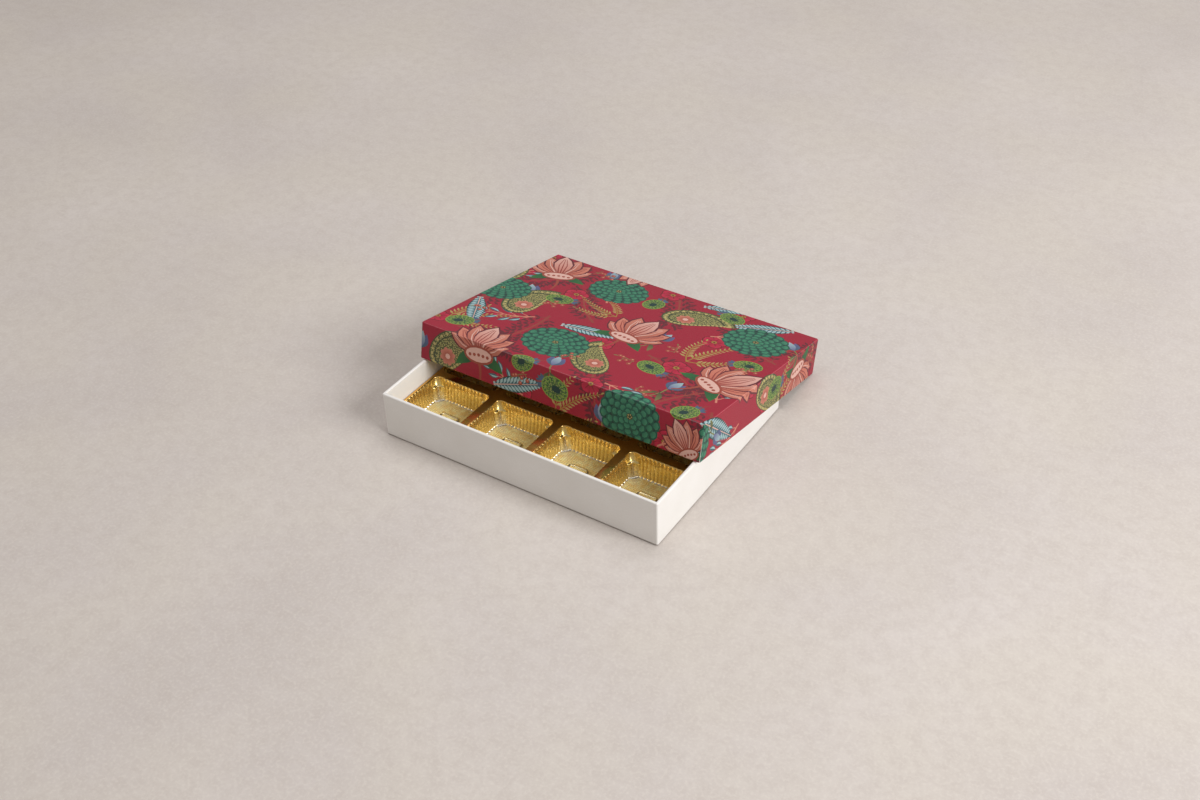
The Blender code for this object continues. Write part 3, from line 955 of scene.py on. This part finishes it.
def printed_paper():
    """The lid's paper: a satin sheet with its print, stippled where the print asks for it, and its wear."""
    s = Shader("printed_paper", Specular_IOR_Level=0.32)
    ink = s.node("ShaderNodeVertexColor", layer_name="print")
    sheet = s.node("ShaderNodeUVMap", uv_map="sheet").outputs["UV"]
    cells = s.node("ShaderNodeTexVoronoi", {"Vector": sheet, "Scale": 78.0, "Randomness": 0.75},
                   voronoi_dimensions="2D")
    pale = s.mix(s.ramp(s.noise(sheet, 60.0), 0.35, 0.65), straw, (0.60, 0.62, 0.36))
    stipple = s.mix(s.ramp(cells.outputs["Distance"], 0.30, 0.40), pale, olive_dark)
    color = s.mix(s.math("MULTIPLY", ink.outputs["Alpha"], 0.85), ink.outputs["Color"], stipple)
    brush = s.noise(s.stretched(sheet, (1.0, 2.4, 1.0)), 34.0, 5.0, 0.65)
    shaded = s.mix(1.0, color, (0.810, 0.786, 0.798), "MULTIPLY")
    color = s.mix(s.ramp(brush, 0.3, 0.7, 0.0, 0.30), color, shaded)
    fibres = s.noise(sheet, 420.0, 2.0, 0.7)
    color = s.mix(s.ramp(fibres, 0.4, 0.8, 0.0, 0.05), color, (0.93, 0.80, 0.78))
    seam, fold, _, _ = s.attribute("wear_and_shade")
    patchy = s.noise(sheet, 90.0, 4.0, 0.7)
    seam = s.ramp(s.math("ADD", seam, patchy), 0.95, 1.20)
    fold = s.math("MULTIPLY", s.ramp(s.math("ADD", fold, patchy), 1.1, 1.7), 0.22)
    s.link(s.mix(s.math("MAXIMUM", seam, fold), color, (0.90, 0.85, 0.83)), "Base Color")
    s.link(s.ramp(s.noise(sheet, 130.0), 0.3, 0.7, 0.38, 0.48), "Roughness")
    s.bump(fibres, 0.2, 0.00005)
    return s.material


def greyboard():
    """Bare board of recycled pulp: specks and long fibres."""
    s = Shader("greyboard", Roughness=0.9, Specular_IOR_Level=0.25)
    where = s.position()
    fibres = s.noise(s.stretched(where, (1.0, 2.2, 1.6)), 500.0, 5.0, 0.7)
    specks = s.noise(where, 1500.0, 1.0)
    color = s.mix(s.ramp(fibres, 0.3, 0.7), (0.72, 0.68, 0.61), (0.80, 0.755, 0.69))
    s.link(s.mix(s.ramp(specks, 0.66, 0.72, 0.0, 0.4), color, (0.45, 0.41, 0.37)), "Base Color")
    s.bump(fibres, 0.4, 0.00012)
    return s.material


def stay_paper():
    """Brown paper tape with fine stripes along its run."""
    s = Shader("stay_paper", Roughness=0.8, Specular_IOR_Level=0.3)
    fibres = s.noise(s.stretched(s.position(), (1.0, 1.0, 6.0)), 600.0, 3.0, 0.6)
    s.link(s.mix(s.ramp(fibres, 0.3, 0.7), (0.72, 0.62, 0.48), (0.80, 0.71, 0.58)), "Base Color")
    s.bump(fibres, 0.3, 0.00006)
    return s.material


def gold_plastic():
    """Metallised sheet: gold lacquer, silver where it was stretched, painted shade in the flutes' grooves,
    and matt, finely ribbed floors speckled with painted glints.
    """
    s = Shader("gold_plastic")
    where = s.position()
    clouds = s.noise(where, 120.0)
    ripple = s.noise(where, 420.0, 2.0)
    grain = s.noise(where, 800.0, 2.0)
    glints = s.noise(where, 330.0, 3.0, 0.6)
    stretch, floor_share, flange_share, groove_shade = s.attribute("stretch")
    gold = s.mix(s.ramp(clouds, 0.3, 0.7), (0.915, 0.810, 0.510), (0.945, 0.850, 0.570))
    gold = s.mix(flange_share, gold, (0.95, 0.740, 0.400))
    # Painted glints: pale, nearly white specks mixed into the floors' gold
    floor_gold = s.mix(s.ramp(glints, 0.36, 0.64), (0.965, 0.860, 0.570), (1.0, 0.965, 0.760))
    gold = s.mix(floor_share, gold, floor_gold)
    thinned = s.math("MULTIPLY", stretch, s.ramp(grain, 0.35, 0.65, 0.6, 1.0))
    color = s.mix(thinned, gold, (0.90, 0.885, 0.850))
    # Painted shade: the flutes' grooves darkened towards a deep brownish gold
    s.link(s.mix(s.ramp(groove_shade, 0.1, 0.9, 0.0, 0.45), color, (0.74, 0.58, 0.29)), "Base Color")
    s.link(s.ramp(floor_share, 0.0, 1.0, 0.95, 0.80), "Metallic")
    dull = s.math("ADD", s.math("MULTIPLY", floor_share, 0.52), s.math("MULTIPLY", flange_share, -0.10))
    s.link(s.math("ADD", s.ramp(ripple, 0.3, 0.7, 0.24, 0.30), dull), "Roughness")
    axes = s.node("ShaderNodeSeparateXYZ", {"Vector": where}).outputs
    turns = 2 * pi / waffle_pitch
    waves = [s.math("SINE", s.math("MULTIPLY", axes[axis], turns)) for axis in ("X", "Y")]
    waffle = s.math("MULTIPLY", s.math("ADD", *waves), 0.55)
    waffle = s.math("ADD", waffle, s.math("MULTIPLY", grain, 0.5))
    height = s.math("ADD", s.math("MULTIPLY", ripple, 0.01), s.math("MULTIPLY", floor_share, waffle))
    s.bump(height, 1.0, 0.0002)
    return s.material


def backdrop():
    """Pale cloth-like backdrop paper, clouded and finely mottled, as the floor."""
    s = Shader("backdrop", Roughness=0.9, Specular_IOR_Level=0.15)
    where = s.position()
    clouds = s.noise(where, 5.0, 4.0, 0.6)
    tint = s.noise(where, 9.0)
    blotches = s.noise(where, 110.0, 7.0, 0.75)
    specks = s.noise(where, 520.0, 3.0, 0.6)
    color = s.mix(s.ramp(clouds, 0.32, 0.68), (0.765, 0.732, 0.712), (0.815, 0.784, 0.764))
    color = s.mix(s.ramp(tint, 0.40, 0.62, 0.0, 0.6), color, (0.800, 0.768, 0.730))
    color = s.mix(s.ramp(blotches, 0.42, 0.62, 0.0, 0.40), color, (0.735, 0.695, 0.668))
    s.link(s.mix(s.ramp(specks, 0.48, 0.66, 0.0, 0.34), color, (0.850, 0.822, 0.790)), "Base Color")
    s.bump(blotches, 0.1, 0.0003)
    return s.material


# Floor, light and camera, in metres

floor_radius, floor_sides = 5.0, 96
box_centre = Vector((0, 0.02, 0.02))


def floor():
    rim = [(x, y, 0.0) for x, y in ellipse(floor_radius, count=floor_sides)]
    item = new_mesh_object("floor", rim, [range(floor_sides)])
    item.data.materials.append(backdrop())


def area_light(name, place, size, power, color):
    """A rectangular lamp that faces the box."""
    lamp = bpy.data.lights.new(name, "AREA")
    lamp.shape = "RECTANGLE"
    lamp.size, lamp.size_y = size
    lamp.energy = power
    lamp.color = color
    item = new_object(name, lamp)
    item.location = place
    item.rotation_euler = (box_centre - Vector(place)).to_track_quat("-Z", "Y").to_euler()


def lights():
    area_light("soft_key", place=(1.75, -0.075, 1.15), size=(1.12, 0.87), power=35.4, color=(0.98, 0.99, 1.0))
    area_light("soft_top", place=(-0.2, 0.5, 1.9), size=(1.6, 1.6), power=15.0, color=(0.97, 0.98, 1.0))
    world = bpy.data.worlds.new("studio")
    world.use_nodes = True
    bpy.context.scene.world = world
    background = world.node_tree.nodes["Background"]
    background.inputs["Color"].default_value = rgba((0.94, 0.915, 0.89))
    background.inputs["Strength"].default_value = 0.43


def camera():
    """The photograph's view, in an image of 1200 by 800."""
    place = Vector((0.41726, -0.60186, 0.58245))
    target = Vector((0.01127, 0.00147, 0.0200))
    roll = radians(-1.85)
    lens = bpy.data.cameras.new("camera")
    lens.lens = 45.09
    lens.sensor_width = 36.0
    item = new_object("camera", lens)
    turn = (target - place).to_track_quat("-Z", "Y").to_matrix().to_4x4()
    item.matrix_world = Matrix.Translation(place) @ turn @ Matrix.Rotation(roll, 4, "Z")
    bpy.context.scene.camera = item


def build():
    camera()
    lights()
    floor()
    for name, material in (("board", greyboard()), ("stay", stay_paper())):
        for node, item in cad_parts.items():
            if name in node:
                item.data.materials.clear()
                item.data.materials.append(material)

    base_wrap = Wrap(base_width, base_depth, base_height, base_fold_radius, base_shade_reach)
    base = paper_object("base_paper", base_wrap, None, base_place)
    base.data.materials.append(white_paper())
    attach(base, "base")
    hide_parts("base_wrap")

    lid_wrap = Wrap(lid_width, lid_depth, lid_height, lid_fold_radius, lid_wear_reach)
    lid = paper_object("lid_paper", lid_wrap, painted_lid(), lid_place)
    lid.data.materials.append(printed_paper())
    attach(lid, "lid")
    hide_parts("lid_wrap")

    tray = tray_object()
    tray.data.materials.append(gold_plastic())
    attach(tray, "tray")
    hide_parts("cavity_tray")


build()
bpy.context.scene.view_settings.view_transform = "Standard"
